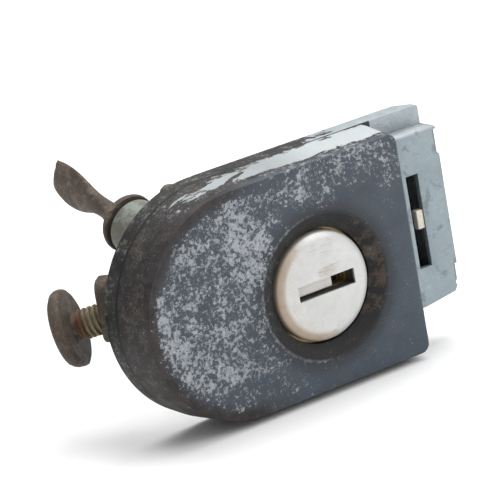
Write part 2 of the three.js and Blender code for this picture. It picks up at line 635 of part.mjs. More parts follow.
lock.add(frontCover(), backPlate(turnGroup), strikeBox(), strikeSlotTab(), cylinderBody());
coverScrewPlaces.forEach(([x, z], i) => lock.add(coverScrew(x, z, i + 1)));
cylinderScrewAngles.forEach((angle, i) => lock.add(cylinderScrew(angle, i + 1)));
lock.add(keyPlug(), keywayShutter(), retainingClip(), camScrew());
waferPlaces.forEach((y, i) => lock.add(wafer(y, i + 1)));
const squareHole = block(-2.15, 2.15, -9, -3, -2.15, 2.15).rotateY(CRANK_REST_ANGLE);
lock.add(crank('plug_cam', 1, CAM_FRONT_Y, CAM_REAR_Y, BAR_REAR_Y - 0.15, squareHole));
lock.add(deadboltHead(), driveBar());
boltRivetHeights.forEach((z, i) => lock.add(boltRivet(z, i + 1)));
lock.add(boltGuide('bolt_guide_upper', BAR_HIGH_Z + 0.3, BAR_HIGH_Z + 3.3));
lock.add(boltGuide('bolt_guide_lower', BAR_LOW_Z - 3.3, BAR_LOW_Z - 0.3));
lock.add(detentSpring(), springPin(-26.6, 1), springPin(-14, 2), locatingStud());

turnGroup.add(thumbTurnSleeve(turnGroup), frictionWasher(), thumbTurn());
turnGroup.add(crank('thumb_crank', -1, -7.5, -6.3, -4, rod(SPINDLE_RADIUS - 0.25, -12, -3)));
screwGroup.add(clampScrew(), clampPad());
lugGroup.add(clampLug(lugGroup, screwGroup));

export default lock;
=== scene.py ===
"""Looks of a surface-mounted deadbolt lock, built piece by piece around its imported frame."""

import json
import math
from contextlib import contextmanager

import bmesh
import bpy
from mathutils import Matrix, Vector


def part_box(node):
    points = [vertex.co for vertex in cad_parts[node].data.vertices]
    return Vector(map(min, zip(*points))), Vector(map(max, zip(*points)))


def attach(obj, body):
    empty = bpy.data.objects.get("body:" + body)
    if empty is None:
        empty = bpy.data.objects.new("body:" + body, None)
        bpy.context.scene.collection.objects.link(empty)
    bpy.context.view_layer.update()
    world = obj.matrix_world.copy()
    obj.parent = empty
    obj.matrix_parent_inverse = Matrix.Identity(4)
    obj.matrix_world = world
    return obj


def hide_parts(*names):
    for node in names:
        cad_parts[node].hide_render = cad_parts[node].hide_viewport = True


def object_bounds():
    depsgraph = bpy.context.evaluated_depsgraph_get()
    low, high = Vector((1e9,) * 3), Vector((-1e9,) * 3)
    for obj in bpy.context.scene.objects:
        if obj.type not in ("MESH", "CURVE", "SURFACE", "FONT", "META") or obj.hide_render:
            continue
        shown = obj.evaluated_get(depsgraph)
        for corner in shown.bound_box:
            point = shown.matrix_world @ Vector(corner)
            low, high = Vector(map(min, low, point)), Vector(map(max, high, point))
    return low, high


bl_info = {
    "name": "Surface deadbolt lock",
    "version": (1, 0, 0),
    "blender": (4, 5, 0),
    "location": "3D View > Sidebar > Lock",
    "description": "Models the pieces and finishes of a worn surface-mounted deadbolt lock",
    "category": "Object",
}

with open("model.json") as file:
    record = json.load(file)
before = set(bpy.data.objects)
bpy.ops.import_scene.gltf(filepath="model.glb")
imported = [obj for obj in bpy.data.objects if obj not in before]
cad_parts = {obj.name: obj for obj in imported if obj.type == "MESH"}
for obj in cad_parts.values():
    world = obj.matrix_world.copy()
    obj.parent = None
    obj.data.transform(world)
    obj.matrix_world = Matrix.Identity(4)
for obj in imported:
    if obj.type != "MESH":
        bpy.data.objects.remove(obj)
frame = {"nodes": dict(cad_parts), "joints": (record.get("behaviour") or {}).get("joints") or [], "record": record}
cad_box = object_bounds()

MM = 0.001
AHEAD = Vector((0, 1, 0))          # out of the rear face
UP = Vector((0, 0, 1))
HAIR = 0.02 * MM                   # two places closer than this are the same place

# ---- Places read from the frame ----
cover_low, cover_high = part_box("front_cover")
plate_low, plate_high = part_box("back_plate")
box_low, box_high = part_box("strike_box")
joint_named = {joint["name"]: joint for joint in frame["joints"]}

HALF_WIDTH = (plate_high.z - plate_low.z) / 2
MID_Z = (plate_high.z + plate_low.z) / 2
ROUND_X = plate_low.x + HALF_WIDTH
PLATE_FRONT = plate_low.y
COVER_END = cover_high.x
COVER_FRONT = cover_low.y
PLATE_END = plate_high.x
SEAM = 0.05 * MM                   # between the cover and the plate
FAR = 60 * MM                      # past every side of the lock, for cutting blocks
FOOT_Y = 0.3 * MM                  # where the sleeve and the lug are cut off above the rear face


def length_property(name, description, default):
    return bpy.props.FloatProperty(
        name=name, description=description, default=default * MM, unit="LENGTH", subtype="DISTANCE")


class LockSizes(bpy.types.PropertyGroup):
    """Sizes of the lock that are matters of look rather than of fit."""

    draft: length_property(
        "Cover draft", "How far the cover's walls lean in on their way to the front", 0.93)
    cover_edge: length_property(
        "Cover edge radius", "Radius between the cover's walls and its face", 2.7)
    corner: length_property("Corner radius", "Radius of the cover's two corners", 2.6)
    wall: length_property("Cover wall", "Thickness of the cover", 2)
    dish_radius: length_property("Dish radius", "Radius of the hollow round the disc", 13.3)
    softness: length_property(
        "Edge softness", "Width of the small rounding on worn edges", 0.16)
    thread_pitch: length_property(
        "Thread pitch", "Distance between crests of the clamp screw", 1.0)


def colour_property(name, description, default):
    return bpy.props.FloatVectorProperty(
        name=name, description=description, default=default, size=3, subtype="COLOR", min=0, max=1)


class LockColours(bpy.types.PropertyGroup):
    """Colours of the lock's paint, metals and dirt."""

    slate: colour_property("Slate paint", "Paint on the cover's face", (0.041, 0.053, 0.069))
    soot: colour_property("Dark paint", "Paint on the cover's round wall", (0.024, 0.019, 0.017))
    corrosion: colour_property("Corrosion", "Grey bloom through the paint", (0.35, 0.37, 0.395))
    bare: colour_property("Bare metal", "Cast metal where the paint is gone", (0.31, 0.335, 0.34))
    black: colour_property("Plate paint", "Paint on the back plate", (0.022, 0.022, 0.021))
    plate_wear: colour_property("Plate wear", "Green-grey specks on the plate", (0.12, 0.125, 0.11))
    box: colour_property("Strike box", "Light blue-grey cast metal", (0.25, 0.30, 0.325))
    disc: colour_property("Disc", "Off-white nickel", (0.54, 0.545, 0.535))
    tan: colour_property("Tan stain", "Stain on the disc's bevel", (0.34, 0.25, 0.17))
    patina: colour_property("Patina", "Skin of the lever and screw head", (0.078, 0.057, 0.042))
    rust: colour_property("Rust", "Red-brown rust in corners", (0.11, 0.045, 0.025))
    verdigris: colour_property("Sleeve oxide", "Grey-green oxide on the sleeve", (0.20, 0.235, 0.205))
    steel: colour_property("Steel", "Plain steel", (0.42, 0.42, 0.41))
    brass: colour_property("Brass", "Dull brass", (0.40, 0.29, 0.14))
    cream: colour_property("Tab", "Pale metal of the slot's tab", (0.58, 0.55, 0.47))


def sizes():
    return bpy.context.scene.lock_sizes


def colours():
    return bpy.context.scene.lock_colours


# ---- Modelling, by hand ----
def deselect():
    if bpy.context.object and bpy.context.object.mode != "OBJECT":
        bpy.ops.object.mode_set(mode="OBJECT")
    bpy.ops.object.select_all(action="DESELECT")


def choose_object(piece):
    deselect()
    piece.select_set(True)
    bpy.context.view_layer.objects.active = piece


def settle(piece, place=None):
    """Puts a piece's place into its mesh, after an optional move by the matrix place."""
    if place is not None:
        piece.matrix_world = place @ piece.matrix_world
    choose_object(piece)
    bpy.ops.object.transform_apply(location=True, rotation=True, scale=True)
    return piece


def added(name, operator, **settings):
    """A primitive at its size and place, named."""
    deselect()
    operator(**settings)
    piece = bpy.context.object
    piece.name = name
    piece.data.name = name
    return settle(piece)


def block(name, low, high):
    low, high = Vector(low), Vector(high)
    return added(name, bpy.ops.mesh.primitive_cube_add, size=1, location=(low + high) / 2,
                 scale=high - low)


def rod(name, radius, y_low, y_high, x=0.0, z=0.0, vertices=96):
    return added(name, bpy.ops.mesh.primitive_cylinder_add, vertices=vertices, radius=radius,
                 depth=y_high - y_low, location=(x, (y_low + y_high) / 2, z),
                 rotation=(math.pi / 2, 0, 0))


@contextmanager
def editing(piece, kind="VERT"):
    """Edit mode with all of the piece selected."""
    choose_object(piece)
    bpy.ops.object.mode_set(mode="EDIT")
    bpy.ops.mesh.select_mode(type=kind)
    bpy.ops.mesh.select_all(action="SELECT")
    yield
    bpy.ops.object.mode_set(mode="OBJECT")


def pick(piece, kind, test):
    """In edit mode, selects the points, edges or faces that pass the test, and nothing else."""
    bpy.ops.mesh.select_mode(type=kind)
    bpy.ops.mesh.select_all(action="DESELECT")
    shape = bmesh.from_edit_mesh(piece.data)
    elements = {"VERT": shape.verts, "EDGE": shape.edges, "FACE": shape.faces}[kind]
    for element in elements:
        if test(element):
            element.select_set(True)
    shape.select_flush_mode()
    bmesh.update_edit_mesh(piece.data)


def middle(edge):
    return (edge.verts[0].co + edge.verts[1].co) / 2


def along(edge, axis):
    return abs((edge.verts[1].co - edge.verts[0].co).normalized().dot(axis)) > 0.999


def close_up():
    """In edit mode, merges doubled points and turns all faces out."""
    bpy.ops.mesh.select_all(action="SELECT")
    bpy.ops.mesh.remove_doubles(threshold=MM / 1000)
    bpy.ops.mesh.normals_make_consistent(inside=False)


def turned(name, profile, steps=96):
    """A body turned about the Y axis through the origin, from (radius, y) pairs in millimetres."""
    piece = added(name, bpy.ops.mesh.primitive_plane_add, size=MM)
    with editing(piece):
        bpy.ops.mesh.merge(type="CENTER")
        here = Vector((*profile[0], 0)) * MM
        bpy.ops.transform.translate(value=here)
        for place in profile[1:]:
            there = Vector((*place, 0)) * MM
            bpy.ops.mesh.extrude_region_move(TRANSFORM_OT_translate={"value": there - here})
            here = there
        bpy.ops.mesh.select_all(action="SELECT")
        bpy.ops.mesh.spin(steps=steps, angle=math.tau, center=(0, 0, 0), axis=(0, 1, 0))
        close_up()
    return piece


def modified(piece, kind, **settings):
    """Adds a modifier and applies it."""
    choose_object(piece)
    modifier = piece.modifiers.new(kind.title(), kind)
    for key, value in settings.items():
        setattr(modifier, key, value)
    bpy.ops.object.modifier_apply(modifier=modifier.name)
    return piece


def joined(piece, other, operation):
    modified(piece, "BOOLEAN", object=other, operation=operation, solver="EXACT")
    bpy.data.objects.remove(other, do_unlink=True)
    return piece


def cut(piece, other):
    return joined(piece, other, "DIFFERENCE")


def grown(piece, other):
    return joined(piece, other, "UNION")


def softened(piece, width, segments=2):
    """Breaks the sharp edges and smooths the rest."""
    modified(piece, "BEVEL", width=width, segments=segments, limit_method="ANGLE",
             angle_limit=math.radians(35), miter_outer="MITER_ARC")
    return smoothed(piece)


def smoothed(piece, angle=40):
    choose_object(piece)
    bpy.ops.object.shade_smooth_by_angle(angle=math.radians(angle))
    return piece


def dressed(piece, material, body, slot, *nodes):
    """Gives a piece its material and body, and hides the CAD nodes that it stands for."""
    piece.data.materials.clear()
    piece.data.materials.append(material)
    for polygon in piece.data.polygons:
        polygon.material_index = 0
    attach(piece, body)
    if nodes:
        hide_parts(*nodes)
    return piece


def lying_along(axis, origin):
    """The matrix that lays the Y axis along axis, through origin."""
    axis = Vector(axis).normalized()
    across = axis.cross(UP).normalized()
    upward = across.cross(axis)
    return Matrix.Translation(origin) @ Matrix((across, axis, upward)).transposed().to_4x4()


def joint_frame(name):
    joint = joint_named[name]
    return lying_along(joint["axis"], Vector(joint["pos_m"]))


def d_block(name, end, inset, rear, front, draft=0.0, edge=0.0, corner=0.0):
    """A block with a round end and a square end, whose walls lean in towards its front."""
    half = HALF_WIDTH - inset
    lip = 0.2 * MM
    piece = rod(name, half, rear - lip, rear, ROUND_X, MID_Z, vertices=144)
    with editing(piece):
        bpy.ops.mesh.bisect(plane_co=(ROUND_X, 0, 0), plane_no=(1, 0, 0), use_fill=True,
                            clear_outer=True, threshold=HAIR)
        pick(piece, "FACE", lambda face: face.normal.x > 0.99)
        bpy.ops.mesh.extrude_region_move(
            TRANSFORM_OT_translate={"value": (end - inset - ROUND_X, 0, 0)})
        if corner:
            pick(piece, "EDGE", lambda e: along(e, AHEAD) and middle(e).x > end - inset - HAIR)
            bpy.ops.mesh.bevel(offset=corner, segments=6, affect="EDGES")
        pick(piece, "FACE", lambda face: face.normal.y < -0.99)
        bpy.ops.mesh.inset(thickness=max(draft, HAIR), depth=rear - lip - front)
        if edge:
            def at_front(e):
                return middle(e).y < front + HAIR and e.calc_face_angle(0) > math.radians(30)

            pick(piece, "EDGE", at_front)
            bpy.ops.transform.edge_bevelweight(value=1)
            # The edge at the square end is sharper than the others.
            square_end = end - inset - draft - 0.3 * MM
            pick(piece, "EDGE", lambda e: at_front(e) and middle(e).x > square_end)
            bpy.ops.transform.edge_bevelweight(value=-0.66)
        close_up()
    if edge:
        modified(piece, "BEVEL", width=edge, segments=9, limit_method="WEIGHT")
    return piece


# ---- Shader maths ----
class Signal:
    """A number or colour that varies over a surface."""

    def __init__(self, surface, socket):
        self.surface = surface
        self.socket = socket

    def math(self, operation, *values):
        return self.surface.node(
            "ShaderNodeMath", {"operation": operation}, dict(enumerate(values)))

    def __abs__(self):
        return self.math("ABSOLUTE", self)

    def __add__(self, other):
        return self.math("ADD", self, other)

    def __sub__(self, other):
        return self.math("SUBTRACT", self, other)

    def __rsub__(self, other):
        return self.math("SUBTRACT", other, self)

    def __mul__(self, other):
        return self.math("MULTIPLY", self, other)

    def __pow__(self, other):
        return self.math("POWER", self, other)

    __radd__ = __add__
    __rmul__ = __mul__

    def between(self, low, high):
        """0 at low, 1 at high, with soft ends; low may be the larger."""
        return self.surface.node(
            "ShaderNodeMapRange", {"interpolation_type": "SMOOTHSTEP"},
            {"Value": self, "From Min": low, "From Max": high, "To Min": 0, "To Max": 1})

    def at_least(self, other):
        return self.math("MAXIMUM", self, other)

    def at_most(self, other):
        return self.math("MINIMUM", self, other)


class Surface:
    """A material under construction, whose place is the lock's own, in millimetres."""

    def __init__(self, name):
        self.material = bpy.data.materials.new(name)
        self.material.use_nodes = True
        self.tree = self.material.node_tree
        self.shader = self.tree.nodes["Principled BSDF"]
        metres = self.node("ShaderNodeTexCoord", {}, {}, "Object")
        self.place = self.node("ShaderNodeVectorMath", {"operation": "SCALE"},
                               {"Vector": metres, "Scale": 1 / MM})
        self.x, self.y, self.z = (
            self.node("ShaderNodeSeparateXYZ", {}, {"Vector": self.place}, axis) for axis in "XYZ")

    def node(self, kind, settings, inputs, output=0):
        """Adds a node, sets it up, feeds its sockets, and gives one of its outputs."""
        node = self.tree.nodes.new(kind)
        for key, value in settings.items():
            setattr(node, key, value)
        for key, value in inputs.items():
            self.feed(node.inputs[key], value)
        return Signal(self, node.outputs[output])

    def feed(self, socket, value):
        if isinstance(value, Signal):
            self.tree.links.new(value.socket, socket)
        elif socket.type == "RGBA":
            socket.default_value = (*value, 1)
        else:
            socket.default_value = value

    def noise(self, size, detail=3.0, roughness=0.5, distortion=0.0, place=None):
        """Soft random patches about size millimetres across, from about 0.3 to 0.7."""
        return self.node(
            "ShaderNodeTexNoise", {},
            {"Vector": place or self.place, "Scale": 1 / size, "Detail": detail,
             "Roughness": roughness, "Distortion": distortion})

    def stretched(self, turn, stretch, shift=0.0):
        """The place, turned about Y by an angle in degrees and drawn out along the new X."""
        return self.node(
            "ShaderNodeMapping", {"vector_type": "POINT"},
            {"Vector": self.place, "Location": (shift, shift, shift),
             "Rotation": (0, math.radians(turn), 0), "Scale": (1 / stretch, 1, 1)})

    def scratches(self, turn, width, length, fill, shift=0.0):
        """Thin broken lines in one direction; fill is the share of noise that they take."""
        lines = self.noise(width, 1, 0.4, 0.0, self.stretched(turn, length / width, shift))
        gaps = self.noise(4.0, 2, 0.5)
        return lines.between(1 - fill, 1 - fill + 0.03) * gaps.between(0.45, 0.6)

    def blend(self, under, over, mask):
        return self.node("ShaderNodeMix", {"data_type": "RGBA", "blend_type": "MIX"},
                         {0: mask, 6: under, 7: over}, 2)

    def shade(self, colour, light):
        """A colour made lighter or darker by a number round 1."""
        grey = self.node("ShaderNodeCombineColor", {}, {0: light, 1: light, 2: light})
        return self.node("ShaderNodeMix", {"data_type": "RGBA", "blend_type": "MULTIPLY"},
                         {0: 1.0, 6: colour, 7: grey}, 2)

    def bump(self, height, strength):
        """A relief whose height is in millimetres."""
        return self.node("ShaderNodeBump", {},
                         {"Height": height, "Distance": MM, "Strength": strength}, "Normal")

    def finished(self, colour, roughness, metallic, normal=None, **constants):
        self.feed(self.shader.inputs["Base Color"], colour)
        self.feed(self.shader.inputs["Roughness"], roughness)
        self.feed(self.shader.inputs["Metallic"], metallic)
        if normal is not None:
            self.feed(self.shader.inputs["Normal"], normal)
        for key, value in constants.items():
            self.feed(self.shader.inputs[key.replace("_", " ")], value)
        return self.material


# ---- Finishes ----
def rim_distance(surface):
    """Millimetres from the middle line of the case, counted round its round end."""
    beyond = (surface.x - ROUND_X / MM).at_most(0)
    across = surface.z - MID_Z / MM
    return (beyond * beyond + across * across) ** 0.5


def worn_slate():
    """The cover's paint: slate face, brown-black wall, grey bloom on the round end, and a top wall
    where the paint has peeled off the pale metal."""
    c = colours()
    s = Surface("worn_slate_paint")
    rim = rim_distance(s)
    disc = (s.x * s.x + s.z * s.z) ** 0.5
    high = s.z - MID_Z / MM
    face = s.y.between(-10.4, -12.0)
    top = (1 - s.y.between(-11.2, -12.2)) * high.between(17.0, 19.0)
    dust = s.noise(0.28, 4, 0.7)
    fine = s.noise(0.62, 6, 0.75, 0.25)
    blots = s.noise(2.6, 5, 0.7, 0.4)
    clouds = s.noise(9.0, 3, 0.55)

    # Paint, mottled, browner and darker on the wall and at the round edge, with painted shade in and round the
    # dish.
    slate = s.shade(c.slate, 0.25 + blots * 0.6 + clouds * 0.6 + dust * 0.35)
    soot = s.shade(c.soot, 0.25 + blots.between(0.35, 0.65) * 0.9 + dust.between(0.3, 0.7) * 0.6)
    brown = (1 - face).at_least(rim.between(16.8, 20.0) * s.x.between(-8, -20))
    paint = s.blend(slate, soot, brown * (0.7 + clouds * 0.5).at_most(1))
    dull = (blots * 0.8 + clouds * 0.5 + fine * 0.3).between(0.80, 0.98) * (1 - face)
    flecks = (s.noise(0.42, 4, 0.75) + blots * 0.25).between(0.715, 0.755) * (1 - face)
    paint = s.blend(paint, (0.075, 0.070, 0.062), dull * 0.5)
    paint = s.blend(paint, (0.17, 0.165, 0.155), flecks * 0.7)
    # Painted shadow: a black line on the cover where it meets the plate.
    seam_shadow = s.y.between(-4.5, -4.15)
    paint = s.blend(paint, (0.004, 0.004, 0.004), seam_shadow * 0.95)
    in_dish = disc.between(13.5, 12.9)
    # Painted shade: the dish and a ring round it are darkened to a blotchy near black.
    around = disc.between(17.0, 13.4) * (0.35 + blots * 0.5)
    around = around.at_least(disc.between(14.6, 13.4) * 0.9)
    dark = s.shade((0.007, 0.006, 0.005), 0.3 + blots * 1.2)
    paint = s.blend(paint, dark, around.at_least(in_dish * 0.92))
    rusty = in_dish * s.x.between(5, 11) * (blots + dust * 0.3).between(0.62, 0.74)
    paint = s.blend(paint, s.shade((0.075, 0.052, 0.036), 0.6 + dust), rusty * 0.6)

    # Bloom: dense on the round end's face, thinner towards the disc and along the top edge.
    clear = rim.between(20.4, 17.6).at_least(s.x.between(-13, -4))
    left = s.x.between(0.5, -14.0) * high.between(-19, -11).at_least(0.6)
    along_top = high.between(8.5, 17.5) * (s.x.between(24, 2) * 0.22 + 0.62)
    corner = high.between(8, 17) * s.x.between(8, 19) * 0.85
    low = high.between(-10, -16) * s.x.between(14, -10) * 0.45
    reach = left.at_least(along_top).at_least(corner).at_least(low) * clear * (1 - around * 0.5)
    rise = fine + blots * 0.42 + clouds * 0.34
    bloom = (rise + reach * 0.195).between(1.06, 1.095)
    haze = (rise + reach * 0.20).between(0.94, 1.10) * reach
    specks = s.noise(0.5, 3, 0.7, 0.0, s.stretched(20, 1.2, 3)).between(0.645, 0.685)
    specks = specks * (0.35 + reach * 0.5) * blots.between(0.42, 0.60)
    bloom = bloom.at_least(specks) * (1 - in_dish * 0.7) * (face + 0.3).at_most(1)
    colour = s.blend(paint, s.shade(c.corrosion, 0.42), haze * 0.22)
    bloom_colour = s.shade(c.corrosion, -0.05 + dust * 1.15 + blots * 0.45 + clouds * 0.15)
    colour = s.blend(colour, bloom_colour, bloom * 0.92)

    # Peeled top wall, with ragged islands of paint towards its edges and the round end.
    wall_middle = 7.6
    edges = abs(s.y + wall_middle).between(1.2, 4.6)
    flakes = s.noise(4.2, 8, 0.68, 1.0, s.stretched(0, 2.6)) + dust * 0.08
    peeled = top * (flakes - edges * 0.24 + s.x.between(-26, 8) * 0.20).between(0.585, 0.60)
    peeled = peeled.at_least(top * (fine + blots * 0.3).between(0.72, 0.76) * 0.75)
    brighter = s.x.between(-6, 8) * 0.45
    bare = s.shade(c.bare, 0.62 + dust * 0.3 + clouds * 0.3 + blots * 0.2 + brighter)
    colour = s.blend(colour, bare, peeled * (1 - seam_shadow * 0.8))

    # Worn arrises at the square end and round the dish, and fine scratches.
    arris = s.x.between(19.5, 20.3) * s.y.between(-10, -11.5) * (blots * 1.8 - 0.1)
    lip = disc.between(13.0, 13.25) * disc.between(13.8, 13.5) * s.x.between(3, -7)
    arris = arris.at_least(lip * (fine * 2.4 - 0.95)).at_most(1).at_least(0)
    colour = s.blend(colour, (0.30, 0.34, 0.38), arris * 0.85)
    marks = s.scratches(24, 0.09, 9, 0.27).at_least(s.scratches(-38, 0.09, 7, 0.27, 7))
    marks = marks.at_least(s.scratches(80, 0.08, 8, 0.275, 19)) * face * s.x.between(-24, 14)
    colour = s.blend(colour, (0.17, 0.185, 0.21), marks * 0.6)

    metal = (peeled + arris).at_most(1)
    rough = 0.38 + bloom * 0.3 + dust * 0.24 + brown * 0.14 + in_dish * 0.2 - metal * 0.04
    relief = bloom * 0.06 - peeled * 0.10 + dust * 0.05 + blots * 0.10 - marks * 0.02
    normal = s.bump(relief, 0.9)
    return s.finished(colour, rough, metal * 0.35 + 0.03, normal, Specular_IOR_Level=0.36)


def worn_black():
    """The plate's paint: black with green-grey specks, and bare at the square end."""
    c = colours()
    s = Surface("worn_black_paint")
    fine = s.noise(0.7, 4, 0.7)
    blots = s.noise(3.0, 5, 0.65, 0.3)
    clouds = s.noise(9.0, 3, 0.5)
    paint = s.shade(c.black, 0.3 + blots.between(0.3, 0.7) * 1.2)
    specks = (fine * 0.8 + blots * 0.4 + clouds * 0.2).between(0.735, 0.80)
    rear = s.y.between(-0.3, -0.1)
    worn = (clouds + fine * 0.3).between(0.60, 0.78) * rear * 0.5
    paint = s.blend(paint, s.shade(c.plate_wear, 0.6 + fine * 0.5), worn)
    colour = s.blend(paint, s.shade(c.plate_wear, 0.5 + fine), specks * (0.8 - rear * 0.5))
    rear_scuff = s.y.between(-0.6, -0.1) * (blots + fine * 0.4).between(0.66, 0.74)
    colour = s.blend(colour, s.shade(c.plate_wear, 1.2 + fine), rear_scuff * 0.25)
    bare = (s.x * 0.024 + s.z * 0.012 + blots * 0.9 + clouds * 0.4).between(1.16, 1.22)
    bare = bare.at_least((s.x + blots * 6).between(25.5, 26.5))
    inside = s.x.between(28.5, 28.3) * s.z.between(19.0, 18.8) * s.y.between(-0.9, -1.4)
    bare = bare * (1 - inside)
    colour = s.blend(colour, s.shade((0.36, 0.40, 0.42), 0.45 + blots * 0.7 + fine * 0.4), bare)
    # Painted shadow: a black line on the plate in the gap at the cover's end.
    seam_shadow = s.y.between(-3.55, -3.75) * s.x.between(COVER_END / MM + 0.1, COVER_END / MM)
    colour = s.blend(colour, (0.004, 0.004, 0.004), seam_shadow * 0.9)
    rough = 0.56 + fine * 0.2 - bare * 0.12
    normal = s.bump(specks * 0.05 + fine * 0.04 - bare * 0.08, 0.8)
    return s.finished(colour, rough, bare * 0.5 + 0.03, normal, Specular_IOR_Level=0.4)


def pale_cast():
    """The strike box's metal: light blue-grey, with dull stains and scuffs, a painted highlight on top, and
    painted shade in its notches and inside.
    """
    c = colours()
    s = Surface("pale_cast_metal")
    dust = s.noise(0.4, 4, 0.65)
    fine = s.noise(1.2, 6, 0.7, 0.3)
    blots = s.noise(3.6, 5, 0.6, 0.8)
    clouds = s.noise(9.0, 3, 0.5)
    colour = s.shade(c.box, 0.45 + blots * 0.5 + clouds * 0.4 + dust * 0.2)
    # Painted highlight: the box's top surfaces are made lighter.
    upper = s.z.between(box_high.z / MM - 0.6, box_high.z / MM - 0.1)
    colour = s.blend(colour, s.shade((0.40, 0.44, 0.455), 0.6 + blots * 0.8), upper)
    stain = (blots + fine * 0.5).between(0.78, 0.92)
    colour = s.blend(colour, s.shade(c.box, 0.45), stain * 0.5)
    pale = (fine + clouds * 0.4).between(0.76, 0.88)
    colour = s.blend(colour, s.shade(c.box, 1.55), pale * 0.4)
    # Darker towards the plate, over the rear of the box's walls.
    grime = (s.y + 8.3).between(0.6, 3.6) * (0.2 + blots * 0.6)
    colour = s.blend(colour, (0.14, 0.15, 0.14), grime * 0.6)
    marks = s.scratches(85, 0.10, 6, 0.29, 3).at_least(s.scratches(10, 0.10, 5, 0.285, 9))
    colour = s.blend(colour, (0.60, 0.65, 0.68), marks * 0.45)
    # Painted shade in the two notches at the square end.
    notches = s.x.between(box_high.x / MM - 0.9, box_high.x / MM - 0.75) * s.y.between(-8.1, -7.8)
    colour = s.blend(colour, (0.10, 0.13, 0.10), notches * (0.3 + fine * 0.6))
    # Painted shade: the box's inside, seen through the slot, is made near black.
    inside = s.y.between(-7.4, -7.0) * s.x.between(box_high.x / MM - 0.9, box_high.x / MM - 1.0)
    inside = inside * s.z.between(box_low.z / MM + 2.1, box_low.z / MM + 2.3)
    inside = inside * s.z.between(box_high.z / MM - 0.9, box_high.z / MM - 1.0)
    colour = s.blend(colour, (0.02, 0.02, 0.02), inside * 0.9)
    rough = 0.40 + dust * 0.2 + stain * 0.2 - marks * 0.1
    normal = s.bump(dust * 0.03 + blots * 0.12 - marks * 0.03, 0.7)
    return s.finished(colour, rough, 0.45, normal)


def scratched_nickel():
    """The disc: off-white, finely scratched, tan along its bevel, smudged above the key slot, and with painted
    shade inside the slot.
    """
    c = colours()
    s = Surface("scratched_nickel")
    radius = (s.x * s.x + s.z * s.z) ** 0.5
    dust = s.noise(0.4, 4, 0.7)
    fine = s.noise(1.3, 6, 0.75, 0.3)
    blots = s.noise(3.0, 5, 0.65, 0.6)
    clouds = s.noise(7.0, 3, 0.5)
    colour = s.shade(c.disc, 0.66 + blots * 0.28 + clouds * 0.22 + dust * 0.16)
    bevel = radius.between(7.9, 8.9)
    tan = bevel * (s.x * -0.07 + s.z * -0.025 + blots * 0.9).between(0.35, 0.85)
    colour = s.blend(colour, s.shade(c.tan, 0.75 + blots * 0.6), tan * 0.8)
    film = (fine * 0.8 + blots * 0.5 - s.x * 0.012).between(0.66, 0.80) * 0.5
    colour = s.blend(colour, (0.45, 0.38, 0.31), film * 0.6)
    smudge_x, smudge_z = s.x - 1.5, s.z - 2.6
    smudge = (smudge_x * smudge_x * 0.25 + smudge_z * smudge_z * 1.2 + blots * 3).between(3.6, 1.4)
    colour = s.blend(colour, (0.36, 0.27, 0.19), smudge * 0.35)
    pits = s.noise(0.75, 4, 0.7, 0.2).between(0.655, 0.69) * clouds.between(0.42, 0.6)
    colour = s.blend(colour, (0.20, 0.16, 0.13), pits * 0.7)
    rim_dirt = radius.between(9.55, 9.95) * (0.4 + blots * 0.6)
    colour = s.blend(colour, (0.10, 0.075, 0.055), rim_dirt * 0.8)
    # Painted shade: the key slot's inside walls are made near black.
    slot_shade = s.y.between(-12.15, -11.6) * radius.between(8.4, 7.4)
    colour = s.blend(colour, (0.03, 0.025, 0.02), slot_shade * 0.9)
    marks = s.scratches(12, 0.09, 6, 0.32).at_least(s.scratches(-30, 0.08, 5, 0.31, 5))
    marks = marks.at_least(s.scratches(62, 0.08, 5, 0.31, 11)) * s.z.between(-4, 5).at_least(0.35)
    colour = s.blend(colour, (0.26, 0.27, 0.29), marks * 0.6)
    rough = 0.34 + dust * 0.2 + tan * 0.15 + pits * 0.2
    normal = s.bump(blots * 0.05 - marks * 0.03 - pits * 0.05 + dust * 0.02, 0.7)
    return s.finished(colour, rough, 0.35, normal)


def brown_patina():
    """The lever's and the screw head's dull brown-grey skin, worn paler on what stands proud."""
    c = colours()
    s = Surface("brown_patina")
    fine = s.noise(0.4, 4, 0.65)
    blots = s.noise(2.0, 5, 0.65, 0.4)
    clouds = s.noise(6.0, 3, 0.5)
    colour = s.shade(c.patina, 0.4 + blots * 0.8 + clouds * 0.5)
    pale = (blots * 0.7 + clouds * 0.6).between(0.64, 0.80)
    colour = s.blend(colour, (0.20, 0.165, 0.13), pale * 0.6)
    pits = fine.between(0.57, 0.64) * 0.7
    colour = s.blend(colour, (0.030, 0.022, 0.017), pits * 0.8)
    specks = s.noise(0.6, 3, 0.7, 0.0, s.stretched(40, 1.3, 4)).between(0.65, 0.69)
    colour = s.blend(colour, (0.32, 0.29, 0.25), specks * 0.6)
    # Painted shade: the lower parts of the pieces beyond x = -30 mm are darkened.
    low = s.z.between(6, -2) * s.x.between(-30, -34)
    colour = s.blend(colour, (0.028, 0.021, 0.016), low * (0.25 + blots * 0.4))
    rough = 0.55 + fine * 0.25
    normal = s.bump(fine * 0.12 + blots * 0.25 - pits * 0.08, 0.9)
    return s.finished(colour, rough, 0.25, normal)


def rusty_thread():
    """The clamp screw's shank: olive brass-coloured crests, with rust next to the head."""
    c = colours()
    s = Surface("rusty_thread")
    start = Vector(joint_named["clamp_screw_turn"]["pos_m"]) / MM
    axis = Vector(joint_named["clamp_screw_turn"]["axis"]).normalized()
    run = s.x * axis.x + s.y * axis.y + s.z * axis.z - start.dot(axis)
    fine = s.noise(0.4, 4, 0.65)
    blots = s.noise(1.4, 4, 0.6, 0.4)
    colour = s.shade((0.20, 0.165, 0.10), 0.45 + blots * 1.1)
    rust = (run + blots * 2.4).between(3.4, 5.0)
    colour = s.blend(colour, s.shade(c.rust, 0.6 + fine), rust * 0.9)
    grime = fine.between(0.56, 0.64)
    colour = s.blend(colour, (0.045, 0.037, 0.03), grime * 0.6)
    normal = s.bump(fine * 0.1 + blots * 0.1, 0.8)
    return s.finished(colour, 0.5 + fine * 0.2, 0.4, normal)


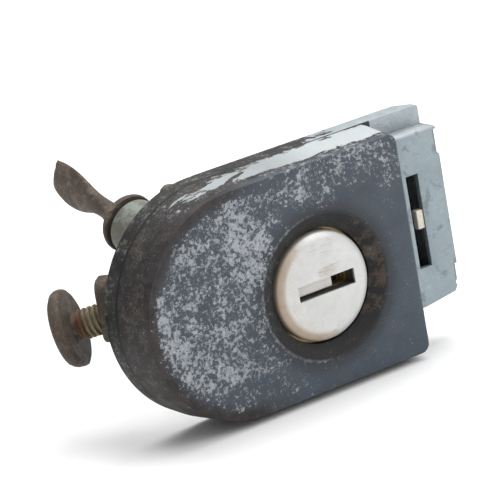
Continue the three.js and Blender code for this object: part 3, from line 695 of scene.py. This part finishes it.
def pale_oxide():
    """The sleeve's grey-green oxide with brown grime at its foot."""
    c = colours()
    s = Surface("pale_oxide")
    fine = s.noise(0.5, 4, 0.65)
    blots = s.noise(2.2, 5, 0.6, 0.4)
    colour = s.shade(c.verdigris, 0.6 + blots * 0.75)
    brown = (blots + fine * 0.3 + s.y * 0.02).between(0.68, 0.80)
    colour = s.blend(colour, (0.12, 0.095, 0.07), brown * 0.7)
    normal = s.bump(fine * 0.08 + blots * 0.12, 0.8)
    return s.finished(colour, 0.5 + fine * 0.2, 0.35, normal)


def plain_metal(name, colour, metallic=0.85, roughness=0.34):
    """A metal of the inner works, with light clouding, oil stains and machining lines."""
    s = Surface(name)
    fine = s.noise(0.3, 3, 0.6)
    blots = s.noise(2.0, 4, 0.6, 0.3)
    lines = s.noise(0.12, 1, 0.5, 0.0, s.stretched(0, 40))
    shown = s.shade(colour, 0.72 + blots * 0.4 + lines * 0.12)
    stain = blots.between(0.57, 0.7)
    shown = s.blend(shown, (0.16, 0.13, 0.10), stain * 0.45)
    normal = s.bump(lines * 0.02 + fine * 0.03, 0.6)
    return s.finished(shown, roughness + fine * 0.12 + stain * 0.2, metallic, normal)


def black_rubber():
    s = Surface("black_rubber")
    fine = s.noise(0.3, 3, 0.6)
    return s.finished(s.shade((0.03, 0.027, 0.024), 0.6 + fine), 0.75 + fine * 0.2, 0.0,
                      s.bump(fine * 0.05, 0.6))


def material(name, make, *settings):
    """Makes a material once and finds it again by name."""
    return bpy.data.materials.get(name) or make(*settings)


def steel():
    return material("oiled_steel", plain_metal, "oiled_steel", colours().steel)


def brass():
    return material("dull_brass", plain_metal, "dull_brass", colours().brass)


def patina():
    return material("brown_patina", brown_patina)


# ---- Pieces ----
class LockOperator:
    """What the lock's operators share."""

    bl_options = {"REGISTER", "UNDO"}


class LOCK_OT_cover(LockOperator, bpy.types.Operator):
    """Model the drafted cover with its dish and its window for the strike box"""

    bl_idname = "lock.cover"
    bl_label = "Cover"

    def execute(self, context):
        size = sizes()
        rear = PLATE_FRONT - SEAM
        cover = d_block("cover_shell", COVER_END, 0, rear, COVER_FRONT, size.draft,
                        size.cover_edge, size.corner)
        hollow = d_block("hollow", COVER_END, size.wall, rear + 1 * MM, COVER_FRONT + size.wall,
                         size.draft, corner=size.corner / 2)
        cut(cover, hollow)
        disc_low, disc_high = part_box("key_plug")
        throat = (disc_high.x - disc_low.x) / 2 / MM + 0.45
        front = COVER_FRONT / MM
        dish = size.dish_radius / MM
        floor = front + 1.5
        # A thicker ring of the cover's face, which leaves metal under the dish.
        grown(cover, rod("seat", (throat + 5.7) * MM, COVER_FRONT + 1.2 * MM, -9.8 * MM))
        cutter = turned("dish", [
            (0, front - 1), (dish + 0.5, front - 1), (dish + 0.35, front - 0.02),
            (dish, front + 0.05), (dish - 0.4, front + 0.2), (dish - 1.0, front + 0.55),
            (dish - 1.7, front + 0.95), (dish - 2.2, front + 1.3), (throat, floor),
            (throat, -9), (0, -9)], 128)
        cut(cover, cutter)
        gap = 0.3 * MM
        cut(cover, block("window", (COVER_END - 4 * MM, box_low.y - gap, box_low.z - gap),
                         (COVER_END + 2 * MM, 0, box_high.z + gap)))
        softened(cover, size.softness)
        dressed(cover, worn_slate(), "case", "cover_paint", "front_cover")
        return {"FINISHED"}


class LOCK_OT_plate(LockOperator, bpy.types.Operator):
    """Model the back plate with its pan, planed end, step and countersinks"""

    bl_idname = "lock.plate"
    bl_label = "Back plate"

    def execute(self, context):
        size = sizes()
        plate = d_block("plate_pan", PLATE_END, 0, 0, PLATE_FRONT, corner=0.6 * MM)
        step_z = -11.6 * MM
        cut(plate, block("step", (COVER_END, -10 * MM, -FAR), (FAR, 10 * MM, step_z)))
        relief_end, relief_depth = -15.4 * MM, 0.15 * MM
        cut(plate, block("relief", (-FAR, -relief_depth, -FAR), (relief_end, MM, FAR)))
        pan_floor, pan_wall = -2 * MM, 2.2 * MM
        cut(plate, d_block("pan", COVER_END, pan_wall, pan_floor, -10 * MM, corner=0.5 * MM))
        pan_end, pan_foot, pan_top = 28.4 * MM, -9.8 * MM, 18.9 * MM
        cut(plate, block("reach", (10 * MM, -10 * MM, pan_foot), (pan_end, pan_floor, pan_top)))
        # The square end's rear is planed down to a slope.
        plane = block("plane", (pan_end, 0, -FAR), (FAR, 20 * MM, FAR))
        corner = Vector((pan_end + 0.4 * MM, 0, 0))
        slope = math.atan2(3, (PLATE_END - corner.x) / MM)
        hinge = Matrix.Translation(corner)
        settle(plane, hinge @ Matrix.Rotation(-slope, 4, "Z") @ hinge.inverted())
        cut(plate, plane)
        turn = joint_frame("thumb_turn_turn")
        cut(plate, settle(rod("spindle_hole", 3 * MM, -8 * MM, 4 * MM), turn))
        for place in cover_screw_places():
            sink = turned("sink", [
                (0, -4), (1.35, -4), (1.35, -1.35), (2.45, -0.15), (2.45, 1), (0, 1)], 48)
            cut(plate, settle(sink, Matrix.Translation(place)))
        softened(plate, size.softness * 1.6)
        dressed(plate, worn_black(), "case", "plate_paint", "back_plate")
        return {"FINISHED"}


class LOCK_OT_strike_box(LockOperator, bpy.types.Operator):
    """Model the strike box with its slot, notches and rising lower wall"""

    bl_idname = "lock.strike_box"
    bl_label = "Strike box"

    def execute(self, context):
        wall, lower_wall = 1.1 * MM, 2.4 * MM
        before = -12 * MM                           # in front of the box's face
        slot_left, slot_right = 23.7 * MM, 26.4 * MM
        slot_foot, slot_top = -5 * MM, 12.5 * MM
        box = block("strike_shell", box_low, box_high)
        with editing(box):
            pick(box, "EDGE", lambda e: along(e, AHEAD) and middle(e).x > box_high.x - HAIR
                 and middle(e).z > MID_Z)
            bpy.ops.mesh.bevel(offset=0.5 * MM, segments=4, affect="EDGES")
        cut(box, block("room", (box_low.x - MM, box_low.y + wall, box_low.z + lower_wall),
                       (box_high.x - wall, 0, box_high.z - wall)))
        cut(box, block("slot", (slot_left, before, slot_foot), (slot_right, -5 * MM, slot_top)))
        cut(box, rod("body_room", 15.5 * MM, before, -6 * MM))
        # Two shallow notches in the front corner of the square end.
        for low, high in ((-10.2, -6.2), (14.8, 19.4)):
            cut(box, block("notch", (box_high.x - 0.8 * MM, box_low.y - MM, low * MM),
                           (box_high.x + MM, box_low.y + 0.7 * MM, high * MM)))
        # The lower wall rises towards the square end, where its corner is clipped.
        rise_x = 23.8 * MM
        rise = block("rise", (rise_x, before, box_low.z - 10 * MM), (45 * MM, 0, box_low.z))
        pivot = Matrix.Translation((rise_x, 0, box_low.z))
        settle(rise, pivot @ Matrix.Rotation(-math.atan2(0.9, 6.9), 4, "Y") @ pivot.inverted())
        cut(box, rise)
        clip = block("clip", (-2 * MM, before, -10 * MM), (10 * MM, 0, 0))
        corner = Matrix.Translation((box_high.x - 1.2 * MM, 0, box_low.z + 0.9 * MM))
        settle(clip, corner @ Matrix.Rotation(-math.atan2(2.1, 1.3), 4, "Y"))
        cut(box, clip)
        softened(box, sizes().softness * 1.3)
        dressed(box, pale_cast(), "case", "box_metal", "strike_box")
        return {"FINISHED"}


class LOCK_OT_slot_tab(LockOperator, bpy.types.Operator):
    """Model the pale tab behind the slot"""

    bl_idname = "lock.slot_tab"
    bl_label = "Slot tab"

    def execute(self, context):
        low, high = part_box("slot_centre_tab")
        foot_front = low.y + 0.9 * MM
        tab = block("slot_tab", (low.x, foot_front, low.z), high)
        grown(tab, block("tab_nose", low, (low.x + 1.45 * MM, foot_front + 0.2 * MM, high.z)))
        softened(tab, 0.14 * MM, 3)
        finish = plain_metal("pale_tab", colours().cream, 0.3, 0.45)
        dressed(tab, finish, "case", "tab_metal", "slot_centre_tab")
        return {"FINISHED"}


class LOCK_OT_disc(LockOperator, bpy.types.Operator):
    """Model the key plug with its bevelled disc and key slot"""

    bl_idname = "lock.disc"
    bl_label = "Key plug"

    def execute(self, context):
        low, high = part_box("key_plug")
        radius = (high.x - low.x) / 2 / MM
        face = low.y / MM
        disc_rear, barrel, groove = -10.05, 8, 7.2
        plug = turned("key_disc", [
            (0, face), (radius - 1.95, face), (radius - 1.6, face + 0.03),
            (radius - 1.2, face + 0.13), (radius - 0.75, face + 0.32), (radius - 0.35, face + 0.55),
            (radius - 0.1, face + 0.8), (radius, face + 1.1), (radius, disc_rear),
            (barrel, disc_rear), (barrel, -6.7), (groove, -6.7), (groove, -6), (barrel, -6),
            (barrel, -5.7), (0, -5.7)], 128)
        grown(plug, block("tail", (-2 * MM, -6.2 * MM, -2 * MM), (2 * MM, -4.4 * MM, 2 * MM)))
        # The key slot, and behind it the higher room that the shutter swings in.
        left, right, half = -5.5 * MM, 6.7 * MM, 1.4 * MM
        cut(plug, block("mouth", (left, -14 * MM, -half), (right, -11 * MM, half)))
        cut(plug, block("chamber", (left, -11.2 * MM, -half), (right, -7.1 * MM, half + 1 * MM)))
        for index in range(3):
            room_low, room_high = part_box(f"wafer_{index + 1}")
            cut(plug, block("wafer_room", (-9 * MM, room_low.y - 0.1 * MM, -3.3 * MM),
                            (9 * MM, room_high.y + 0.1 * MM, 3.5 * MM)))
        cut(plug, rod("screw_hole", 1.05 * MM, -6.7 * MM, -4 * MM, vertices=32))
        softened(plug, 0.1 * MM)
        dressed(plug, scratched_nickel(), "key_plug", "disc_metal", "key_plug")
        return {"FINISHED"}


class LOCK_OT_shutter(LockOperator, bpy.types.Operator):
    """Model the sprung flap in the key slot"""

    bl_idname = "lock.shutter"
    bl_label = "Key slot shutter"

    def execute(self, context):
        low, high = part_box("keyway_shutter")
        flap = block("slot_shutter", low, high)
        softened(flap, 0.12 * MM, 3)
        finish = plain_metal("shutter_metal", (0.62, 0.60, 0.57), 0.2, 0.42)
        dressed(flap, finish, "shutter", "steel", "keyway_shutter")
        return {"FINISHED"}


class LOCK_OT_thumb_turn(LockOperator, bpy.types.Operator):
    """Model the thumb-turn: a collar on a spindle, a neck and a flared paddle"""

    bl_idname = "lock.thumb_turn"
    bl_label = "Thumb-turn"

    def execute(self, context):
        foot = 7.3                                  # underside of the collar
        collar = turned("lever", [
            (0, -6.1), (2, -6.1), (2, -5.3), (2.4, -5.3), (2.4, foot), (5.15, foot),
            (5.33, foot + 0.3), (5.35, foot + 0.75), (5.15, foot + 1.2), (4.6, foot + 1.6),
            (3.6, foot + 2.1), (2.75, foot + 2.8), (2.3, foot + 3.6), (2.0, foot + 4.8),
            (1.8, foot + 6.6), (0, foot + 6.6)], 64)
        rise = math.tan(math.radians(1.8))
        # Along the lever from the collar: distance, half width and half thickness.
        sections = [
            (4, 1.85, 1.75), (6.5, 1.8, 1.62), (9, 1.85, 1.5), (11, 2.1, 1.38), (12.7, 2.7, 1.25),
            (14.3, 3.35, 1.14), (16, 3.85, 1.05), (18, 4.15, 0.97), (20, 4.2, 0.92),
            (21.6, 4.05, 0.88), (22.8, 3.75, 0.84), (23.6, 3.5, 0.78), (24, 3.3, 0.62)]
        start, width, depth = sections[0]
        root, hinge = start, 21.5
        paddle = added("paddle", bpy.ops.mesh.primitive_circle_add, vertices=24, radius=MM,
                       fill_type="NGON", rotation=(math.pi / 2, 0, 0))
        with editing(paddle):
            bpy.ops.transform.resize(value=(depth, 1, width), center_override=(0, 0, 0))
            bpy.ops.transform.translate(value=(0, (foot + start) * MM, 0))
            for reach, next_width, next_depth in sections[1:]:
                step = (reach - start) * MM
                bpy.ops.mesh.extrude_region_move(
                    TRANSFORM_OT_translate={"value": (0, step, step * rise)})
                centre = (0, (foot + reach) * MM, (reach - root) * rise * MM)
                bpy.ops.transform.resize(
                    value=(next_depth / depth, 1, next_width / width), center_override=centre)
                start, width, depth = reach, next_width, next_depth
            # The far end is cut a little aslant.
            for reach in (22.2, 23.2):
                pick(paddle, "VERT", lambda v: v.co.y > (foot + reach) * MM)
                bpy.ops.transform.rotate(
                    value=math.radians(-9), orient_axis="X",
                    center_override=(0, (foot + hinge) * MM, (hinge - root) * rise * MM))
            close_up()
        with editing(paddle):
            pick(paddle, "EDGE", lambda e: e.calc_face_angle(0) > math.radians(60))
            bpy.ops.transform.edge_crease(value=0.75)
        modified(paddle, "SUBSURF", levels=2, render_levels=2)
        grown(collar, paddle)
        smoothed(settle(collar, joint_frame("thumb_turn_turn")), 50)
        dressed(collar, patina(), "thumb_turn", "aged_metal", "thumb_turn")
        return {"FINISHED"}


class LOCK_OT_sleeve(LockOperator, bpy.types.Operator):
    """Model the sleeve that the thumb-turn stands on"""

    bl_idname = "lock.sleeve"
    bl_label = "Thumb-turn sleeve"

    def execute(self, context):
        sleeve = turned("turn_sleeve", [
            (2.65, -6), (5.5, -6), (5.5, 0.8), (5.4, 1.3), (5.1, 1.8), (5.05, 3.0), (5.1, 5.6),
            (5.0, 6.1), (4.7, 6.4), (2.65, 6.4), (2.65, -6)])
        settle(sleeve, joint_frame("thumb_turn_turn"))
        with editing(sleeve):
            bpy.ops.mesh.bisect(plane_co=(0, FOOT_Y, 0), plane_no=(0, -1, 0), use_fill=True,
                                clear_outer=True)
        softened(sleeve, 0.1 * MM)
        dressed(sleeve, pale_oxide(), "case", "sleeve_metal", "thumb_turn_sleeve")
        return {"FINISHED"}


class LOCK_OT_clamp_screw(LockOperator, bpy.types.Operator):
    """Model the clamp screw: a domed thumb head and a helical thread"""

    bl_idname = "lock.clamp_screw"
    bl_label = "Clamp screw"

    def execute(self, context):
        under = 5.3                                 # the head's underside, along the screw
        head = turned("clamp_head", [
            (0, under - 0.6), (2.3, under - 0.6), (2.5, under - 0.1), (3.2, under + 0.12),
            (5.6, under + 0.02), (6.6, under - 0.08), (7.1, under + 0.25), (7.27, under + 0.8),
            (7.25, under + 1.5), (6.95, under + 2.1), (6.2, under + 2.6), (4.8, under + 2.95),
            (3.2, under + 3.12), (1.5, under + 3.25), (0, under + 3.28)])
        with editing(head):
            # The rim's lower side is worn a little flat.
            pick(head, "VERT", lambda v: v.co.z < -5.2 * MM and v.co.x < 0)
            bpy.ops.transform.resize(value=(0.97, 1, 0.955), center_override=(0, 0, 0))
        place = joint_frame("clamp_screw_turn")
        smoothed(settle(head, place), 50)
        dressed(head, patina(), "clamp_screw", "aged_metal")

        core_radius = 2.32
        core = turned("clamp_shank", [
            (0, -4.1), (1.1, -4.1), (1.1, -3.6), (2.2, -3.2), (core_radius, -3.0),
            (core_radius, under - 0.55), (0, under - 0.55)], 64)
        pitch = sizes().thread_pitch
        ridge = added("ridge", bpy.ops.mesh.primitive_circle_add, vertices=6, radius=0.42 * pitch,
                      location=(2.42 * MM, -2.9 * MM, 0), fill_type="NOTHING")
        modified(ridge, "SCREW", axis="Y", angle=math.tau, screw_offset=pitch, iterations=7,
                 steps=48, render_steps=48, use_merge_vertices=False)
        with editing(ridge):
            bpy.ops.mesh.fill_holes(sides=8)
            close_up()
        choose_object(core)
        ridge.select_set(True)
        bpy.ops.object.join()
        smoothed(settle(core, place), 50)
        dressed(core, rusty_thread(), "clamp_screw", "aged_metal", "clamp_screw")
        return {"FINISHED"}


class LOCK_OT_clamp_lug(LockOperator, bpy.types.Operator):
    """Model the rounded lug that the clamp screw goes through"""

    bl_idname = "lock.clamp_lug"
    bl_label = "Clamp lug"

    def execute(self, context):
        joint = joint_named["clamp_screw_turn"]
        axis, entry = Vector(joint["axis"]), Vector(joint["pos_m"])
        level = Vector((axis.x, axis.y, 0))
        lug = block("screw_lug", (-3.3 * MM, -3.4 * MM, -4.2 * MM), (3.3 * MM, 0, 7.4 * MM))
        with editing(lug):
            pick(lug, "EDGE", lambda e: along(e, AHEAD))
            bpy.ops.mesh.bevel(offset=2.4 * MM, segments=8, affect="EDGES")
            pick(lug, "EDGE", lambda e: e.calc_face_angle(0) > math.radians(60))
            bpy.ops.mesh.bevel(offset=0.5 * MM, segments=3, affect="EDGES")
        settle(lug, lying_along(level, entry))
        grown(lug, block("foot", (-34.5 * MM, FOOT_Y, -0.6 * MM), (-28.5 * MM, 4.2 * MM, 8.4 * MM)))
        with editing(lug):
            bpy.ops.mesh.bisect(plane_co=(0, FOOT_Y, 0), plane_no=(0, -1, 0), use_fill=True,
                                clear_outer=True)
        cut(lug, settle(rod("hole", 3.25 * MM, -12 * MM, 6 * MM), joint_frame("clamp_screw_turn")))
        softened(lug, 0.3 * MM, 3)
        dressed(lug, patina(), "case", "aged_metal", "clamp_lug")
        return {"FINISHED"}


class LOCK_OT_stud(LockOperator, bpy.types.Operator):
    """Model the locating stud behind the plate's upper edge"""

    bl_idname = "lock.stud"
    bl_label = "Locating stud"

    def execute(self, context):
        low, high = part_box("locating_stud")
        stud = turned("rear_stud", [
            (0, 0.05), (2, 0.05), (1.95, 0.5), (1.8, 4.4), (1.65, 5.1), (1.3, 5.7), (0.7, 5.95),
            (0, 6)], 64)
        settle(stud, Matrix.Translation(((low.x + high.x) / 2, 0, (low.z + high.z) / 2)))
        smoothed(stud, 50)
        dressed(stud, patina(), "case", "aged_metal", "locating_stud")
        return {"FINISHED"}


def cover_screw_places():
    """Where the three cover screws' axes meet the plate's rear face."""
    boxes = [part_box(f"cover_screw_{index}") for index in (1, 2, 3)]
    return [Vector(((low.x + high.x) / 2, 0, (low.z + high.z) / 2)) for low, high in boxes]


class LOCK_OT_cover_screws(LockOperator, bpy.types.Operator):
    """Model the slotted countersunk screws that hold the cover from behind"""

    bl_idname = "lock.cover_screws"
    bl_label = "Cover screws"

    def execute(self, context):
        screw = turned("cover_screw_a", [
            (0, -8.5), (1.1, -8), (1.1, -1.3), (2.2, -0.15), (2.2, -0.06), (0, -0.05)], 48)
        cut(screw, block("driver_slot", (-3 * MM, -0.6 * MM, -0.35 * MM), (3 * MM, MM, 0.35 * MM)))
        softened(screw, 0.08 * MM)
        copies = [screw]
        for letter in "bc":
            twin = screw.copy()
            twin.data = screw.data.copy()
            twin.name = f"cover_screw_{letter}"
            bpy.context.scene.collection.objects.link(twin)
            copies.append(twin)
        for index, (piece, place) in enumerate(zip(copies, cover_screw_places())):
            turn = Matrix.Rotation(math.radians(35 + 50 * index), 4, "Y")
            settle(piece, Matrix.Translation(place) @ turn)
            dressed(piece, steel(), "case", "steel", f"cover_screw_{index + 1}")
        return {"FINISHED"}


class LOCK_OT_inner_works(LockOperator, bpy.types.Operator):
    """Give the pieces inside the case, which keep their CAD shapes, their finishes"""

    bl_idname = "lock.inner_works"
    bl_label = "Inner works"

    def execute(self, context):
        finishes = {"steel": steel, "brass": brass,
                    "washer": lambda: material("black_rubber", black_rubber)}
        replaced = {"cover_screw_1", "cover_screw_2", "cover_screw_3", "keyway_shutter"}
        for entry in frame["record"]["subparts"]:
            node, slot = entry["node"], entry["material_slot"]
            if slot in finishes and node not in replaced:
                data = frame["nodes"][node].data
                data.materials.clear()
                data.materials.append(finishes[slot]())
        return {"FINISHED"}


class LOCK_OT_stage(LockOperator, bpy.types.Operator):
    """Set the pale floor, the soft lights and the camera"""

    bl_idname = "lock.stage"
    bl_label = "Stage"

    def execute(self, context):
        low, high = cad_box
        floor = added("floor", bpy.ops.mesh.primitive_plane_add, size=6,
                      location=(0, 0, low.z - 0.5 * MM))
        surface = Surface("pale_floor")
        tone = surface.noise(400.0, 2, 0.5)
        floor.data.materials.append(
            surface.finished(surface.shade((0.93, 0.93, 0.93), 0.97 + tone * 0.05), 0.9, 0.0))

        world = bpy.data.worlds.new("studio")
        world.use_nodes = True
        background = world.node_tree.nodes["Background"]
        background.inputs["Color"].default_value = (1, 1, 1, 1)
        background.inputs["Strength"].default_value = 0.42
        context.scene.world = world
        context.scene.view_settings.view_transform = "Standard"

        # Name, place in metres, size in metres and power in watts.
        for name, place, size, power in (("key_light", (0.4, -0.6, 0.55), 0.7, 5.5),
                                         ("top_light", (0.15, 0.2, 0.8), 0.8, 8.5)):
            light = bpy.data.lights.new(name, "AREA")
            light.size = size
            light.energy = power
            lamp = bpy.data.objects.new(name, light)
            lamp.location = place
            lamp.rotation_euler = (-Vector(place)).to_track_quat("-Z", "Y").to_euler()
            context.scene.collection.objects.link(lamp)

        azimuth, elevation, roll = map(math.radians, (-31.88, 16.4, 10.15))
        target = Vector((-4.1, 3.4, 5.7)) * MM
        distance = 0.6
        back = Vector((math.sin(azimuth) * math.cos(elevation),
                       -math.cos(azimuth) * math.cos(elevation), math.sin(elevation)))
        lens = bpy.data.cameras.new("camera")
        lens.sensor_width = 36
        lens.lens = 241.6
        lens.clip_start = 0.01
        camera = bpy.data.objects.new("camera", lens)
        camera.location = target + back * distance
        facing = (-back).to_track_quat("-Z", "Y").to_matrix().to_4x4()
        camera.rotation_euler = (facing @ Matrix.Rotation(-roll, 4, "Z")).to_euler()
        context.scene.collection.objects.link(camera)
        context.scene.camera = camera
        return {"FINISHED"}


STEPS = (
    LOCK_OT_stage, LOCK_OT_cover, LOCK_OT_plate, LOCK_OT_strike_box, LOCK_OT_slot_tab,
    LOCK_OT_disc, LOCK_OT_shutter, LOCK_OT_thumb_turn, LOCK_OT_sleeve, LOCK_OT_clamp_screw,
    LOCK_OT_clamp_lug, LOCK_OT_stud, LOCK_OT_cover_screws, LOCK_OT_inner_works,
)


class LOCK_PT_panel(bpy.types.Panel):
    """Lists the lock's steps and settings in the sidebar"""

    bl_label = "Surface deadbolt lock"
    bl_idname = "LOCK_PT_panel"
    bl_space_type = "VIEW_3D"
    bl_region_type = "UI"
    bl_category = "Lock"

    def draw(self, context):
        for group in (context.scene.lock_sizes, context.scene.lock_colours):
            column = self.layout.column(align=True)
            for name in group.__annotations__:
                column.prop(group, name)
        for step in STEPS:
            self.layout.operator(step.bl_idname)


CLASSES = (LockSizes, LockColours, *STEPS, LOCK_PT_panel)


def register():
    for cls in CLASSES:
        bpy.utils.register_class(cls)
    bpy.types.Scene.lock_sizes = bpy.props.PointerProperty(type=LockSizes)
    bpy.types.Scene.lock_colours = bpy.props.PointerProperty(type=LockColours)


def unregister():
    del bpy.types.Scene.lock_colours
    del bpy.types.Scene.lock_sizes
    for cls in reversed(CLASSES):
        bpy.utils.unregister_class(cls)


def main():
    register()
    for step in STEPS:
        group, name = step.bl_idname.split(".")
        getattr(getattr(bpy.ops, group), name)()


if __name__ == "__main__":
    main()
